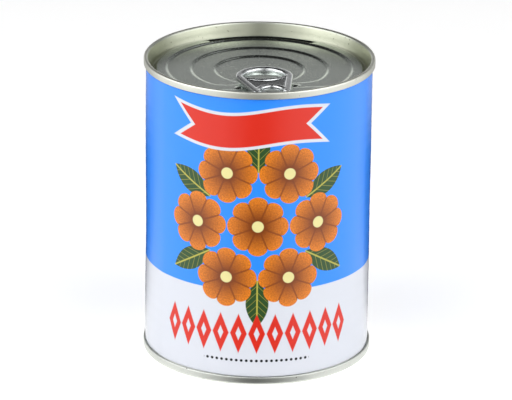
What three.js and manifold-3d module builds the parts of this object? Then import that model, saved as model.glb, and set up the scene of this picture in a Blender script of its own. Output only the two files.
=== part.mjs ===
// A ring-pull food tin with a paper label, full of fruit in syrup.
// Millimetres, +Z up. The origin is the middle of the base, and the front of the label faces -Y.

import * as THREE from "three";
import { mergeVertices } from "three/addons/utils/BufferGeometryUtils.js";
import Module from "manifold-3d";

const wasm = await Module();
wasm.setup();

// Driving dimensions of the tin
const TIN_HEIGHT = 115.9;
const TOP_SEAM_RADIUS = 43.65;
const BOTTOM_SEAM_RADIUS = 43.5;
const SEAM_HEIGHT = 2.9;
const SEAM_THICKNESS = 1.45;
const SEAM_EDGE = 0.35;
const BODY_RADIUS = 42.2;
const BODY_WALL = 0.25;
const END_WALL = 0.3;
const GAP = 0.3;
const SEGMENTS = 48;

// Inside each folded seam, as depths from its outer end: roof, edge of the flared body, hook that turns in
const SEAM_ROOF = 0.5;
const BODY_EDGE_DEPTH = 1.9;
const BODY_FLARE_DEPTH = 2.1;
const HOOK_DEPTH = 2.15;
const HOOK_GAP = 0.46;
const COMPOUND_HEIGHT = 0.8;

// Rolled beads that stiffen the body
const BEAD_COUNT = 5;
const BEAD_DEPTH = 0.35;
const BEAD_ZONE_LOW = 32;
const BEAD_ZONE_HIGH = 84;

// Easy-open end: depths are below the top of the seam, and each level steps down to the middle
const DEPTH_OUTER = 4.35;
const DEPTH_SECOND = 4.85;
const DEPTH_THIRD = 5.3;
const DEPTH_CENTRE = 5.75;
const DEPTH_COUNTERSINK = 5.9;
const RADIUS_OUTER = 38.6;
const RADIUS_SECOND = 34.4;
const RADIUS_THIRD = 25.2;
const RADIUS_CENTRE = 16.2;
const STEP_WIDTH = 1.05;
const COUNTERSINK_INNER = 39.25;
const COUNTERSINK_RADIUS = 39.95;
const COUNTERSINK_RISE = 0.75;
const CHUCK_RADIUS_LOW = 41;
const CHUCK_RADIUS_MIDDLE = 41.3;
const CHUCK_MIDDLE_DEPTH = 3;
const UNDERSIDE_SHIFT = 0.1;
const LID_TURN = THREE.MathUtils.degToRad(8);

// Straight edges that close the third level and bound the raised rivet pad at the front
const THIRD_LEVEL_CHORD = 18;
const RIVET_PAD_CHORD = 24.5;
const PAD_LIP = 0.03;
const PAD_OVERLAP = 0.3;
const PAD_CURVE_STEPS = 16;

// Long shallow recess behind the middle, in the outer level
const PANEL_RECESS_INNER = 35.9;
const PANEL_RECESS_OUTER = 37.7;
const PANEL_RECESS_FROM = THREE.MathUtils.degToRad(57);
const PANEL_RECESS_TO = THREE.MathUtils.degToRad(121);
const PANEL_RECESS_DEPTH = 0.2;
const PANEL_RECESS_CUT = 1;

// Two dimples beside the tab keep it from turning on its rivet
const DIMPLE_X = 10.2;
const DIMPLE_Y = -22.4;
const DIMPLE_RADIUS = 2;
const DIMPLE_HEIGHT = 0.55;
const DIMPLE_STEPS = 12;

// Rivet drawn up out of the panel
const RIVET_Y = -33;
const RIVET_STEM_RADIUS = 1.6;
const RIVET_HEAD_RADIUS = 2.6;
const RIVET_HEAD_LOW = 3.2;
const RIVET_HEAD_TOP = 2.6;
const RIVET_HEAD_EDGE_HEIGHT = 0.3;
const RIVET_HEAD_EDGE_WIDTH = 0.45;
const RIVET_STEPS = 20;

// Pull tab, lying along the lid's -Y radius before it is turned about the rivet
const TAB_TURN = THREE.MathUtils.degToRad(1.4);
const TAB_THICKNESS = 2;
const TAB_TOP_DEPTH = 1.95;
const TAB_HINGE_Y = -37.1;
const TAB_RING_Y = -16.4;
const TAB_RING_RADIUS = 10.85;
const TAB_BAR_WIDTH = 2.8;
const TAB_SHOULDER_Y = -33.6;
const TAB_SHOULDER_X = 6.9;
const TAB_NOSE_X = 3.6;
const TAB_CORNER_INSET = 0.7;
const TAB_BEVEL = 0.35;
const TAB_CURVE_STEPS = 14;
const WINDOW_SHOULDER_X = 4.5;
const RIVET_WINDOW_RADIUS = 4.3;

// Thin web between the finger hole and the rivet window: its depth is at the hole, and it slopes to the nose
const FINGER_HOLE_FRONT = -21.6;
const FINGER_HOLE_BOW = 3.4;
const WEB_HALF_WIDTH = 8.6;
const WEB_FOOT_X = 5.6;
const WEB_DEPTH = 2.7;
const WEB_THICKNESS = 0.5;
const WEB_TILT = THREE.MathUtils.degToRad(4.8);
const WEB_CURVE_STEPS = 12;

// Heel: the rim's curl reaches lower round the back of the finger hole
const HEEL_WIDTH = 1.4;
const HEEL_INSET = 0.1;
const HEEL_DEPTH = 5.05;
const HEEL_FROM = THREE.MathUtils.degToRad(15);

// Raised bead that arches round the rivet window, running a little past the half circle
const ARCH_RADIUS = 5.3;
const ARCH_TUBE = 0.8;
const ARCH_DEPTH = 2.9;
const ARCH_OVERRUN = 0.1;
const ARCH_STEPS = 14;
const ARCH_TUBE_STEPS = 3;

// Tongue under the rivet head
const TONGUE_HALF_WIDTH = 3.6;
const TONGUE_THICKNESS = 0.5;
const TONGUE_DEPTH = 3.5;
const TONGUE_GAP = 0.5;

// Recessed end at the base
const BASE_COUNTERSINK_Z = 4;
const BASE_PANEL_Z = 3;
const BASE_PANEL_RADIUS = 38.2;
const BASE_COUNTERSINK_INNER = 39.2;
const BASE_COUNTERSINK_OUTER = 40.4;
const BASE_BEAD_RADIUS = 29;
const BASE_BEAD_HALF_WIDTH = 1.6;
const BASE_BEAD_HEIGHT = 0.7;

// Paper label, one turn with its end glued over its start at the back
const LABEL_LOW = 3.3;
const LABEL_HIGH = 112.7;
const LABEL_THICKNESS = 0.12;
const LABEL_LAP_STEPS = 2;
const LABEL_LAP_LIFT = 0.2;
const LABEL_START = THREE.MathUtils.degToRad(97.5);

// Contents
const SYRUP_RADIUS = 41.2;
const SYRUP_LOW = 4.9;
const SYRUP_LEVEL = 102.5;
const FRUIT_RADIUS = 11.2;
const FRUIT_RING_RADIUS = 17.6;
const FRUIT_IN_RING = 6;
const FRUIT_LAYERS = 3;
const FRUIT_TOP_Z = 97;
const FRUIT_LAYER_STEP = 17.6;
const FRUIT_JITTER = 0.3;
const FRUIT_STEPS_ROUND = 6;
const FRUIT_STEPS_DOWN = 4;

const tinplate = (color, roughness) => new THREE.MeshStandardMaterial({ color, roughness, metalness: 1 });
const plain = (color, roughness) => new THREE.MeshStandardMaterial({ color, roughness, metalness: 0 });

// Turns an indexed geometry into a solid, with shared vertices merged and flat triangles dropped
function toSolid(source) {
  const bare = source.clone();
  bare.deleteAttribute("normal");
  bare.deleteAttribute("uv");
  const merged = mergeVertices(bare, 1e-4);
  const index = merged.index.array;
  const kept = [];
  for (let i = 0; i < index.length; i += 3) {
    const [a, b, c] = [index[i], index[i + 1], index[i + 2]];
    if (a !== b && b !== c && a !== c) kept.push(a, b, c);
  }
  const vertProperties = new Float32Array(merged.attributes.position.array);
  return new wasm.Manifold(new wasm.Mesh({ numProp: 3, vertProperties, triVerts: new Uint32Array(kept) }));
}

// Turns a solid back into a geometry
function toGeometry(solid) {
  const cut = solid.getMesh();
  const geometry = new THREE.BufferGeometry();
  geometry.setAttribute("position", new THREE.BufferAttribute(new Float32Array(cut.vertProperties), 3));
  geometry.setIndex(new THREE.BufferAttribute(new Uint32Array(cut.triVerts), 1));
  geometry.computeVertexNormals();
  return geometry;
}

// Keeps the biggest of a solid's loose bodies
function biggestBody(solid) {
  const bodies = solid.decompose();
  return bodies.reduce((best, body) => (body.volume() > best.volume() ? body : best));
}

// Revolves a closed outline of [radius, height] pairs about Z, with its faces outwards
function turned(outline, segments = SEGMENTS) {
  const points = outline.map(([radius, height]) => new THREE.Vector2(radius, height));
  const closed = points[0].x > 0 ? [...points, points[0].clone()] : points;
  const ordered = THREE.ShapeUtils.area(closed) < 0 ? closed.reverse() : closed;
  return new THREE.LatheGeometry(ordered, segments).rotateX(Math.PI / 2);
}

// Extrudes a flat shape upwards from a height
function slab(shape, low, thickness, curveSegments = 8) {
  const options = { depth: thickness, bevelEnabled: false, curveSegments };
  return new THREE.ExtrudeGeometry(shape, options).translate(0, 0, low);
}

// Flat piece of a disc beyond a straight edge, on the -Y side
function discSegment(chord, radius) {
  const half = Math.acos(chord / radius);
  const shape = new THREE.Shape();
  shape.absarc(0, 0, radius, -Math.PI / 2 - half, -Math.PI / 2 + half, false);
  shape.closePath();
  return shape;
}

function addMesh(parent, name, geometry, material) {
  const mesh = new THREE.Mesh(geometry, material);
  mesh.name = name;
  parent.add(mesh);
}

// Height of a place that lies a depth below the top of the tin
const below = (depth) => TIN_HEIGHT - depth;

// Folded seam of an end, as [radius, depth] pairs from its inner corner round to the roof of its slot
function foldedSeam(radius) {
  return [
    [radius - SEAM_THICKNESS + SEAM_EDGE, 0],
    [radius - SEAM_EDGE, 0],
    [radius, SEAM_EDGE],
    [radius, SEAM_HEIGHT - SEAM_EDGE],
    [radius - SEAM_EDGE, SEAM_HEIGHT],
    [BODY_RADIUS + HOOK_GAP, SEAM_HEIGHT],
    [radius - END_WALL, HOOK_DEPTH],
    [radius - END_WALL, SEAM_ROOF],
    [radius - SEAM_THICKNESS + END_WALL, SEAM_ROOF],
  ];
}

// Outside of the body's flared edge in a seam
const flareRadius = (seamRadius) => seamRadius - END_WALL - GAP;

// Can body: a welded tube with rolled beads, its two edges flared out into the folded seams
function canBody() {
  const beadLength = (BEAD_ZONE_HIGH - BEAD_ZONE_LOW) / BEAD_COUNT;
  const wave = [];
  for (let i = 0; i < BEAD_COUNT; i += 1) {
    const low = BEAD_ZONE_LOW + i * beadLength;
    wave.push([BODY_RADIUS, low], [BODY_RADIUS - BEAD_DEPTH, low + beadLength / 2]);
  }
  const outer = [
    [flareRadius(BOTTOM_SEAM_RADIUS), BODY_EDGE_DEPTH],
    [flareRadius(BOTTOM_SEAM_RADIUS), BODY_FLARE_DEPTH],
    [BODY_RADIUS, SEAM_HEIGHT],
    ...wave,
    [BODY_RADIUS, BEAD_ZONE_HIGH],
    [BODY_RADIUS, below(SEAM_HEIGHT)],
    [flareRadius(TOP_SEAM_RADIUS), below(BODY_FLARE_DEPTH)],
    [flareRadius(TOP_SEAM_RADIUS), below(BODY_EDGE_DEPTH)],
  ];
  const inner = outer.map(([radius, z]) => [radius - BODY_WALL, z]).reverse();
  return turned([...outer, ...inner]);
}

// Panel line of the easy-open end, from the middle outwards, as [radius, depth] pairs
const lidLine = [
  [0, DEPTH_CENTRE],
  [RADIUS_CENTRE, DEPTH_CENTRE],
  [RADIUS_CENTRE + STEP_WIDTH, DEPTH_THIRD],
  [RADIUS_THIRD, DEPTH_THIRD],
  [RADIUS_THIRD + STEP_WIDTH, DEPTH_SECOND],
  [RADIUS_SECOND, DEPTH_SECOND],
  [RADIUS_SECOND + STEP_WIDTH, DEPTH_OUTER],
  [RADIUS_OUTER, DEPTH_OUTER],
];

// Easy-open end: folded seam, sloping wall, countersink and stepped panel
function lidSheet() {
  const upper = lidLine.map(([radius, depth]) => [radius, below(depth)]);
  const lower = lidLine
    .map(([radius, depth]) => [radius && radius + UNDERSIDE_SHIFT, below(depth + END_WALL)])
    .reverse();
  const wall = [
    [COUNTERSINK_INNER, below(DEPTH_COUNTERSINK - COUNTERSINK_RISE)],
    [COUNTERSINK_RADIUS, below(DEPTH_COUNTERSINK)],
    [CHUCK_RADIUS_LOW, below(DEPTH_COUNTERSINK - COUNTERSINK_RISE)],
    [CHUCK_RADIUS_MIDDLE, below(CHUCK_MIDDLE_DEPTH)],
    [TOP_SEAM_RADIUS - SEAM_THICKNESS, below(SEAM_EDGE)],
  ];
  const seam = foldedSeam(TOP_SEAM_RADIUS).map(([radius, depth]) => [radius, below(depth)]);
  const underWall = [
    [CHUCK_RADIUS_MIDDLE + END_WALL, below(CHUCK_MIDDLE_DEPTH)],
    [CHUCK_RADIUS_LOW + END_WALL, below(DEPTH_COUNTERSINK - COUNTERSINK_RISE)],
    [COUNTERSINK_RADIUS, below(DEPTH_COUNTERSINK + END_WALL)],
    [COUNTERSINK_INNER - END_WALL, below(DEPTH_COUNTERSINK - COUNTERSINK_RISE)],
  ];
  return toSolid(turned([...upper, ...wall, ...seam, ...underWall, ...lower]));
}

// Straight-edged raised part of the panel at the front
function raisedPad(chord, radius, depthLow, depthHigh) {
  const low = below(depthLow + END_WALL / 2);
  const high = below(depthHigh - PAD_LIP);
  return toSolid(slab(discSegment(chord, radius), low, high - low, PAD_CURVE_STEPS));
}

function panelRecess(extra, low, high) {
  const middle = (PANEL_RECESS_INNER + PANEL_RECESS_OUTER) / 2;
  const half = (PANEL_RECESS_OUTER - PANEL_RECESS_INNER) / 2 + extra;
  const shape = new THREE.Shape();
  const ends = [PANEL_RECESS_FROM, PANEL_RECESS_TO].map((angle) => ({
    angle,
    x: middle * Math.cos(angle),
    y: middle * Math.sin(angle),
  }));
  shape.absarc(0, 0, middle + half, ends[0].angle, ends[1].angle, false);
  shape.absarc(ends[1].x, ends[1].y, half, ends[1].angle, ends[1].angle + Math.PI, false);
  shape.absarc(0, 0, middle - half, ends[1].angle, ends[0].angle, true);
  shape.absarc(ends[0].x, ends[0].y, half, ends[0].angle + Math.PI, ends[0].angle + 2 * Math.PI, false);
  return toSolid(slab(shape, low, high - low));
}

function dimple(side) {
  const dome = new THREE.SphereGeometry(DIMPLE_RADIUS, DIMPLE_STEPS, DIMPLE_STEPS / 2).rotateX(Math.PI / 2);
  dome.scale(1, 1, DIMPLE_HEIGHT / DIMPLE_RADIUS);
  return toSolid(dome.translate(side * DIMPLE_X, DIMPLE_Y, below(DEPTH_SECOND)));
}

function rivet() {
  const foot = below(DEPTH_OUTER + END_WALL / 2);
  const outline = [
    [0, foot],
    [RIVET_STEM_RADIUS, foot],
    [RIVET_STEM_RADIUS, below(RIVET_HEAD_LOW)],
    [RIVET_HEAD_RADIUS, below(RIVET_HEAD_LOW)],
    [RIVET_HEAD_RADIUS, below(RIVET_HEAD_TOP + RIVET_HEAD_EDGE_HEIGHT)],
    [RIVET_HEAD_RADIUS - RIVET_HEAD_EDGE_WIDTH, below(RIVET_HEAD_TOP)],
    [0, below(RIVET_HEAD_TOP)],
  ];
  return toSolid(turned(outline, RIVET_STEPS).translate(0, RIVET_Y, 0));
}

function topEnd() {
  const outer = below(DEPTH_OUTER);
  const lipRadius = (radius) => radius + STEP_WIDTH + PAD_OVERLAP;
  const underside = panelRecess(END_WALL, outer - PANEL_RECESS_DEPTH - END_WALL, outer - END_WALL / 2);
  const sunk = panelRecess(0, outer - PANEL_RECESS_DEPTH, outer + PANEL_RECESS_CUT);
  return lidSheet()
    .add(raisedPad(THIRD_LEVEL_CHORD, lipRadius(RADIUS_THIRD), DEPTH_THIRD, DEPTH_SECOND))
    .add(raisedPad(RIVET_PAD_CHORD, lipRadius(RADIUS_SECOND), DEPTH_SECOND, DEPTH_OUTER))
    .add(underside)
    .subtract(sunk)
    .add(dimple(-1))
    .add(dimple(1))
    .add(rivet());
}

// Base end: folded seam, wall up to a countersink, and a recessed panel with one raised bead
function bottomEnd() {
  const panel = [
    [0, BASE_PANEL_Z],
    [BASE_BEAD_RADIUS - BASE_BEAD_HALF_WIDTH, BASE_PANEL_Z],
    [BASE_BEAD_RADIUS, BASE_PANEL_Z - BASE_BEAD_HEIGHT],
    [BASE_BEAD_RADIUS + BASE_BEAD_HALF_WIDTH, BASE_PANEL_Z],
    [BASE_PANEL_RADIUS, BASE_PANEL_Z],
    [BASE_COUNTERSINK_INNER, BASE_COUNTERSINK_Z],
    [BASE_COUNTERSINK_OUTER, BASE_COUNTERSINK_Z],
  ];
  const inside = panel.map(([radius, z]) => [radius, z + END_WALL]).reverse();
  const wall = [
    [CHUCK_RADIUS_MIDDLE, CHUCK_MIDDLE_DEPTH],
    [BOTTOM_SEAM_RADIUS - SEAM_THICKNESS, SEAM_EDGE],
  ];
  const upperWall = [CHUCK_RADIUS_MIDDLE + END_WALL, CHUCK_MIDDLE_DEPTH];
  return turned([...panel, ...wall, ...foldedSeam(BOTTOM_SEAM_RADIUS), upperWall, ...inside]);
}

// Ring of sealing compound in a seam, beyond the body's edge
function compoundRing(seamRadius, low) {
  const high = low + COMPOUND_HEIGHT;
  const outer = flareRadius(seamRadius);
  const inner = outer - BODY_WALL;
  return turned([[inner, low], [outer, low], [outer, high], [inner, high]]);
}

function tabOutline() {
  const noseY = TAB_HINGE_Y - TAB_THICKNESS / 2;
  const shape = new THREE.Shape();
  shape.absarc(0, TAB_RING_Y, TAB_RING_RADIUS, 0, Math.PI, false);
  shape.lineTo(-TAB_SHOULDER_X, TAB_SHOULDER_Y);
  shape.quadraticCurveTo(-TAB_SHOULDER_X + TAB_CORNER_INSET, noseY, -TAB_NOSE_X, noseY);
  shape.lineTo(TAB_NOSE_X, noseY);
  shape.quadraticCurveTo(TAB_SHOULDER_X - TAB_CORNER_INSET, noseY, TAB_SHOULDER_X, TAB_SHOULDER_Y);
  shape.closePath();
  return shape;
}

// Opening inside the curled rim, which the web then closes at the front
function rimWindow() {
  const half = TAB_RING_RADIUS - TAB_BAR_WIDTH;
  const front = TAB_HINGE_Y + TAB_THICKNESS / 2;
  const path = new THREE.Path();
  path.absarc(0, TAB_RING_Y, half, 0, Math.PI, false);
  path.lineTo(-WINDOW_SHOULDER_X, TAB_SHOULDER_Y);
  path.lineTo(-RIVET_WINDOW_RADIUS, front);
  path.lineTo(RIVET_WINDOW_RADIUS, front);
  path.lineTo(WINDOW_SHOULDER_X, TAB_SHOULDER_Y);
  path.closePath();
  return path;
}

function tabRim() {
  const shape = tabOutline();
  shape.holes.push(rimWindow());
  const options = {
    depth: TAB_THICKNESS - 2 * TAB_BEVEL,
    bevelThickness: TAB_BEVEL,
    bevelSize: TAB_BEVEL,
    bevelOffset: -TAB_BEVEL,
    bevelSegments: 2,
    curveSegments: TAB_CURVE_STEPS,
  };
  const low = below(TAB_TOP_DEPTH + TAB_THICKNESS - TAB_BEVEL);
  return toSolid(new THREE.ExtrudeGeometry(shape, options).translate(0, 0, low));
}

// Thin web between the finger hole and the rivet window
function tabWeb() {
  const edge = FINGER_HOLE_FRONT + FINGER_HOLE_BOW;
  const shape = new THREE.Shape();
  shape.moveTo(-WEB_HALF_WIDTH, edge);
  shape.quadraticCurveTo(0, FINGER_HOLE_FRONT - FINGER_HOLE_BOW, WEB_HALF_WIDTH, edge);
  shape.lineTo(WEB_FOOT_X, TAB_SHOULDER_Y);
  shape.lineTo(RIVET_WINDOW_RADIUS, TAB_SHOULDER_Y);
  shape.lineTo(RIVET_WINDOW_RADIUS, RIVET_Y);
  shape.absarc(0, RIVET_Y, RIVET_WINDOW_RADIUS, 0, Math.PI, false);
  shape.lineTo(-RIVET_WINDOW_RADIUS, TAB_SHOULDER_Y);
  shape.lineTo(-WEB_FOOT_X, TAB_SHOULDER_Y);
  shape.closePath();
  const sheet = slab(shape, -WEB_THICKNESS, WEB_THICKNESS, WEB_CURVE_STEPS);
  sheet.translate(0, -FINGER_HOLE_FRONT, 0).rotateX(WEB_TILT).translate(0, FINGER_HOLE_FRONT, below(WEB_DEPTH));
  return toSolid(sheet);
}

// Deeper curl round the back of the finger hole
function tabHeel() {
  const inner = TAB_RING_RADIUS - TAB_BAR_WIDTH + HEEL_INSET;
  const shape = new THREE.Shape();
  shape.absarc(0, TAB_RING_Y, inner + HEEL_WIDTH, HEEL_FROM, Math.PI - HEEL_FROM, false);
  shape.absarc(0, TAB_RING_Y, inner, Math.PI - HEEL_FROM, HEEL_FROM, true);
  shape.closePath();
  const height = HEEL_DEPTH - TAB_TOP_DEPTH - TAB_THICKNESS / 2;
  return toSolid(slab(shape, below(HEEL_DEPTH), height, TAB_CURVE_STEPS));
}

// Middle line of the arched bead
class ArchCurve extends THREE.Curve {
  getPoint(t, target = new THREE.Vector3()) {
    const angle = THREE.MathUtils.lerp(-ARCH_OVERRUN, 1 + ARCH_OVERRUN, t) * Math.PI;
    const [x, y] = [ARCH_RADIUS * Math.cos(angle), RIVET_Y + ARCH_RADIUS * Math.sin(angle)];
    return target.set(x, y, below(ARCH_DEPTH));
  }
}

function tabArch() {
  const section = new THREE.Shape();
  section.absarc(0, 0, ARCH_TUBE, 0, 2 * Math.PI, false);
  const options = { steps: ARCH_STEPS, curveSegments: ARCH_TUBE_STEPS, extrudePath: new ArchCurve() };
  return toSolid(new THREE.ExtrudeGeometry(section, options));
}

// Turns a piece of the tab about the rivet
function aboutRivet(geometry) {
  return geometry.translate(0, -RIVET_Y, 0).rotateZ(TAB_TURN).translate(0, RIVET_Y, 0);
}

// Tongue held by the rivet: the tab bends up about its front edge
function tabTongue() {
  const shape = new THREE.Shape();
  const front = TAB_HINGE_Y + TAB_THICKNESS / 2 + TONGUE_GAP;
  shape.absarc(0, RIVET_Y, TONGUE_HALF_WIDTH, 0, Math.PI, false);
  shape.lineTo(-TONGUE_HALF_WIDTH, front);
  shape.lineTo(TONGUE_HALF_WIDTH, front);
  shape.closePath();
  const hole = new THREE.Path();
  hole.absarc(0, RIVET_Y, RIVET_STEM_RADIUS + GAP, 0, 2 * Math.PI, true);
  shape.holes.push(hole);
  return slab(shape, below(TONGUE_DEPTH + TONGUE_THICKNESS), TONGUE_THICKNESS);
}

function label() {
  const steps = SEGMENTS + LABEL_LAP_STEPS;
  const rampStart = SEGMENTS - LABEL_LAP_STEPS;
  const turn = (offset) =>
    Array.from({ length: steps + 1 }, (_, i) => {
      const lift = LABEL_LAP_LIFT * THREE.MathUtils.clamp((i - rampStart) / LABEL_LAP_STEPS, 0, 1);
      const angle = LABEL_START + (i * 2 * Math.PI) / SEGMENTS;
      const radius = BODY_RADIUS + GAP + lift + offset;
      return new THREE.Vector2(radius * Math.cos(angle), radius * Math.sin(angle));
    });
  const outline = [...turn(LABEL_THICKNESS), ...turn(0).reverse()];
  return slab(new THREE.Shape(outline), LABEL_LOW, LABEL_HIGH - LABEL_LOW);
}

// Small repeatable random numbers from 0 to 1
function seededRandom(seed) {
  let state = seed;
  return () => {
    state = (state * 16807) % 2147483647;
    return state / 2147483647;
  };
}

// Peeled, stoned fruit packed in layers: rings of six round a middle one, pressed into one body
function fruitStack(radius) {
  const random = seededRandom(7);
  const shift = () => (2 * random() - 1) * FRUIT_JITTER;
  let stack = null;
  for (let layer = 0; layer < FRUIT_LAYERS; layer += 1) {
    const z = FRUIT_TOP_Z - layer * FRUIT_LAYER_STEP;
    for (let i = 0; i <= FRUIT_IN_RING; i += 1) {
      const angle = ((i + layer / 2) * 2 * Math.PI) / FRUIT_IN_RING;
      const reach = i === FRUIT_IN_RING ? 0 : FRUIT_RING_RADIUS;
      const ball = new THREE.SphereGeometry(radius, FRUIT_STEPS_ROUND, FRUIT_STEPS_DOWN).rotateX(Math.PI / 2);
      ball.translate(reach * Math.cos(angle) + shift(), reach * Math.sin(angle) + shift(), z + shift());
      stack = stack ? stack.add(toSolid(ball)) : toSolid(ball);
    }
  }
  return stack;
}

// Syrup round the fruit, open at its level where the top fruit stand out of it
function syrup() {
  const outline = [
    [0, SYRUP_LOW],
    [SYRUP_RADIUS, SYRUP_LOW],
    [SYRUP_RADIUS, SYRUP_LEVEL],
    [0, SYRUP_LEVEL],
  ];
  return biggestBody(toSolid(turned(outline)).subtract(fruitStack(FRUIT_RADIUS + GAP)));
}

const tin = new THREE.Group();
const lid = new THREE.Group();
lid.rotation.z = LID_TURN;
tin.add(lid);

addMesh(tin, "can_body", canBody(), tinplate(0xb4b7b4, 0.35));
addMesh(tin, "bottom_end", bottomEnd(), tinplate(0xb9bcb8, 0.3));
const compoundLow = SEAM_ROOF + GAP;
const compoundHigh = below(SEAM_ROOF + GAP + COMPOUND_HEIGHT);
addMesh(tin, "bottom_compound", compoundRing(BOTTOM_SEAM_RADIUS, compoundLow), plain(0x6f6a62, 0.8));
addMesh(tin, "top_compound", compoundRing(TOP_SEAM_RADIUS, compoundHigh), plain(0x6f6a62, 0.8));
addMesh(lid, "top_end", toGeometry(topEnd()), tinplate(0xb2b5ae, 0.35));
addMesh(lid, "tab_tongue", aboutRivet(tabTongue()), tinplate(0xc4c6c4, 0.28));
const tab = toGeometry(tabRim().add(tabHeel()).add(tabWeb()).add(tabArch()));
addMesh(lid, "pull_tab", aboutRivet(tab), tinplate(0xc4c6c4, 0.25));
addMesh(tin, "paper_label", label(), plain(0x3b86f0, 0.4));
addMesh(tin, "peeled_fruit", toGeometry(fruitStack(FRUIT_RADIUS)), plain(0xe6e0cf, 0.4));
addMesh(tin, "syrup", toGeometry(syrup()), plain(0xe2c27a, 0.1));

export default tin;
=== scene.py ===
"""Looks of a ring-pull food tin with a paper label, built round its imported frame."""

import logging
import math
from collections.abc import Callable, Sequence
from dataclasses import dataclass
from enum import Enum

import bpy
import numpy as np
from mathutils import Matrix, Vector

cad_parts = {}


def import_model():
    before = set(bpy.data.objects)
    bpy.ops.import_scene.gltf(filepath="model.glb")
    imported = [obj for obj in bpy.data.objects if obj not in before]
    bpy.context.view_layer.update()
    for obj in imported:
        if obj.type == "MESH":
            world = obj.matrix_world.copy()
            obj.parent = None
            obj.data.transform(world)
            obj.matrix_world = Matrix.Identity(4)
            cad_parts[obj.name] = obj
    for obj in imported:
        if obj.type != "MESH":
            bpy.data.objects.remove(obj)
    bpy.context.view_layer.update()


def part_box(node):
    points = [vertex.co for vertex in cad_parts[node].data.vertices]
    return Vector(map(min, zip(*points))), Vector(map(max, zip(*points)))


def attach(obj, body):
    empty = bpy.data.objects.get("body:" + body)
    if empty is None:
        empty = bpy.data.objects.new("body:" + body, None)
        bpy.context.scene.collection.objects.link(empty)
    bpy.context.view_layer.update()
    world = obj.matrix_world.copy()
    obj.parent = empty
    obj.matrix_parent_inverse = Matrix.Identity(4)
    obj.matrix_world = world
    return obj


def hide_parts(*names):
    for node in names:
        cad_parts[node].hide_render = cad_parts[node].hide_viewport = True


LOG = logging.getLogger("tin")

MM = 0.001
ROUND_STEPS = 256
MERGE_DISTANCE = 2e-6
CORNER_PARTS = 6
LID_TURN = math.radians(8)
TAB_TURN = math.radians(1.4)
RIVET_Y = -33.0 * MM
SHEET = 0.3 * MM
FRONT_BEARING = 270.0
LABEL_START = 97.5
LABEL_LAP = 15.0
LABEL_SWEEP = 360.0 + LABEL_LAP

Piece = bpy.types.Object
Finish = bpy.types.Material
Socket = bpy.types.NodeSocket
Array = np.ndarray
Number = float | Socket
Pair = tuple[float, float]
Triple = tuple[float, float, float]
Colour = Triple
Ramp = tuple[float, float, float, float]
Fed = Socket | float | Sequence[float]
Inputs = dict[str | int, Fed]
Zones = tuple[Socket | Colour, Socket, Number]


class Body(Enum):
    """The two rigid bodies of the frame."""

    TIN = "tin"
    RING_PULL = "ring_pull"


def linear(red: int, green: int, blue: int) -> Colour:
    """Turns a screen colour into a light value.

    Args:
        red: Screen value from 0 to 255.
        green: Screen value from 0 to 255.
        blue: Screen value from 0 to 255.

    Returns:
        The three linear values.
    """

    def one(value: int) -> float:
        """Turns one screen value into a linear one by the sRGB curve."""
        share = value / 255
        return share / 12.92 if share <= 0.04045 else ((share + 0.055) / 1.055) ** 2.4

    return one(red), one(green), one(blue)


def eased(value: Array) -> Array:
    """Rises smoothly from 0 to 1 as the value does, held at both ends."""
    held = np.clip(value, 0.0, 1.0)
    return held * held * (3.0 - 2.0 * held)


def hump(value: Array, width: float) -> Array:
    """A bell of height 1 round zero that has fallen to about a third at the width."""
    return np.exp(-((value / width) ** 2))


def soft_least(one: Array, other: Array, corner: float) -> Array:
    """The lesser of two values, with a soft turn of the given size where they meet."""
    share = np.clip(0.5 + 0.5 * (one - other) / corner, 0, 1)
    return one * (1 - share) + other * share - corner * share * (1 - share)


def bow(start: Vector, bend: Vector, end: Vector, parts: int) -> list[Vector]:
    """Points on a smooth curve from start to end that leans towards the bend."""
    shares = [part / parts for part in range(parts + 1)]
    return [start.lerp(bend, t).lerp(bend.lerp(end, t), t) for t in shares]


def dense(start: Pair, end: Pair, spacing: float) -> list[Pair]:
    """Points evenly along a straight line, from its start up to but not at its end."""
    count = max(1, round(math.dist(start, end) / spacing))
    return [tuple(a + (b - a) * i / count for a, b in zip(start, end)) for i in range(count)]


def rounded(corners: Sequence[Triple]) -> list[Pair]:
    """Rounds the corners of an outline.

    Args:
        corners: Radius, height and corner radius of each point in order.

    Returns:
        The outline's points.
    """
    most = 0.49
    points: list[Pair] = []
    for index, (x, y, bend) in enumerate(corners):
        if bend <= 0:
            points.append((x, y))
            continue
        here = Vector((x, y))
        before = Vector(corners[index - 1][:2]) - here
        after = Vector(corners[(index + 1) % len(corners)][:2]) - here
        half = before.angle(after) / 2
        reach = min(bend / math.tan(half), before.length * most, after.length * most)
        start = here + before.normalized() * reach
        end = here + after.normalized() * reach
        points += [(point.x, point.y) for point in bow(start, here, end, CORNER_PARTS)]
    return points


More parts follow.
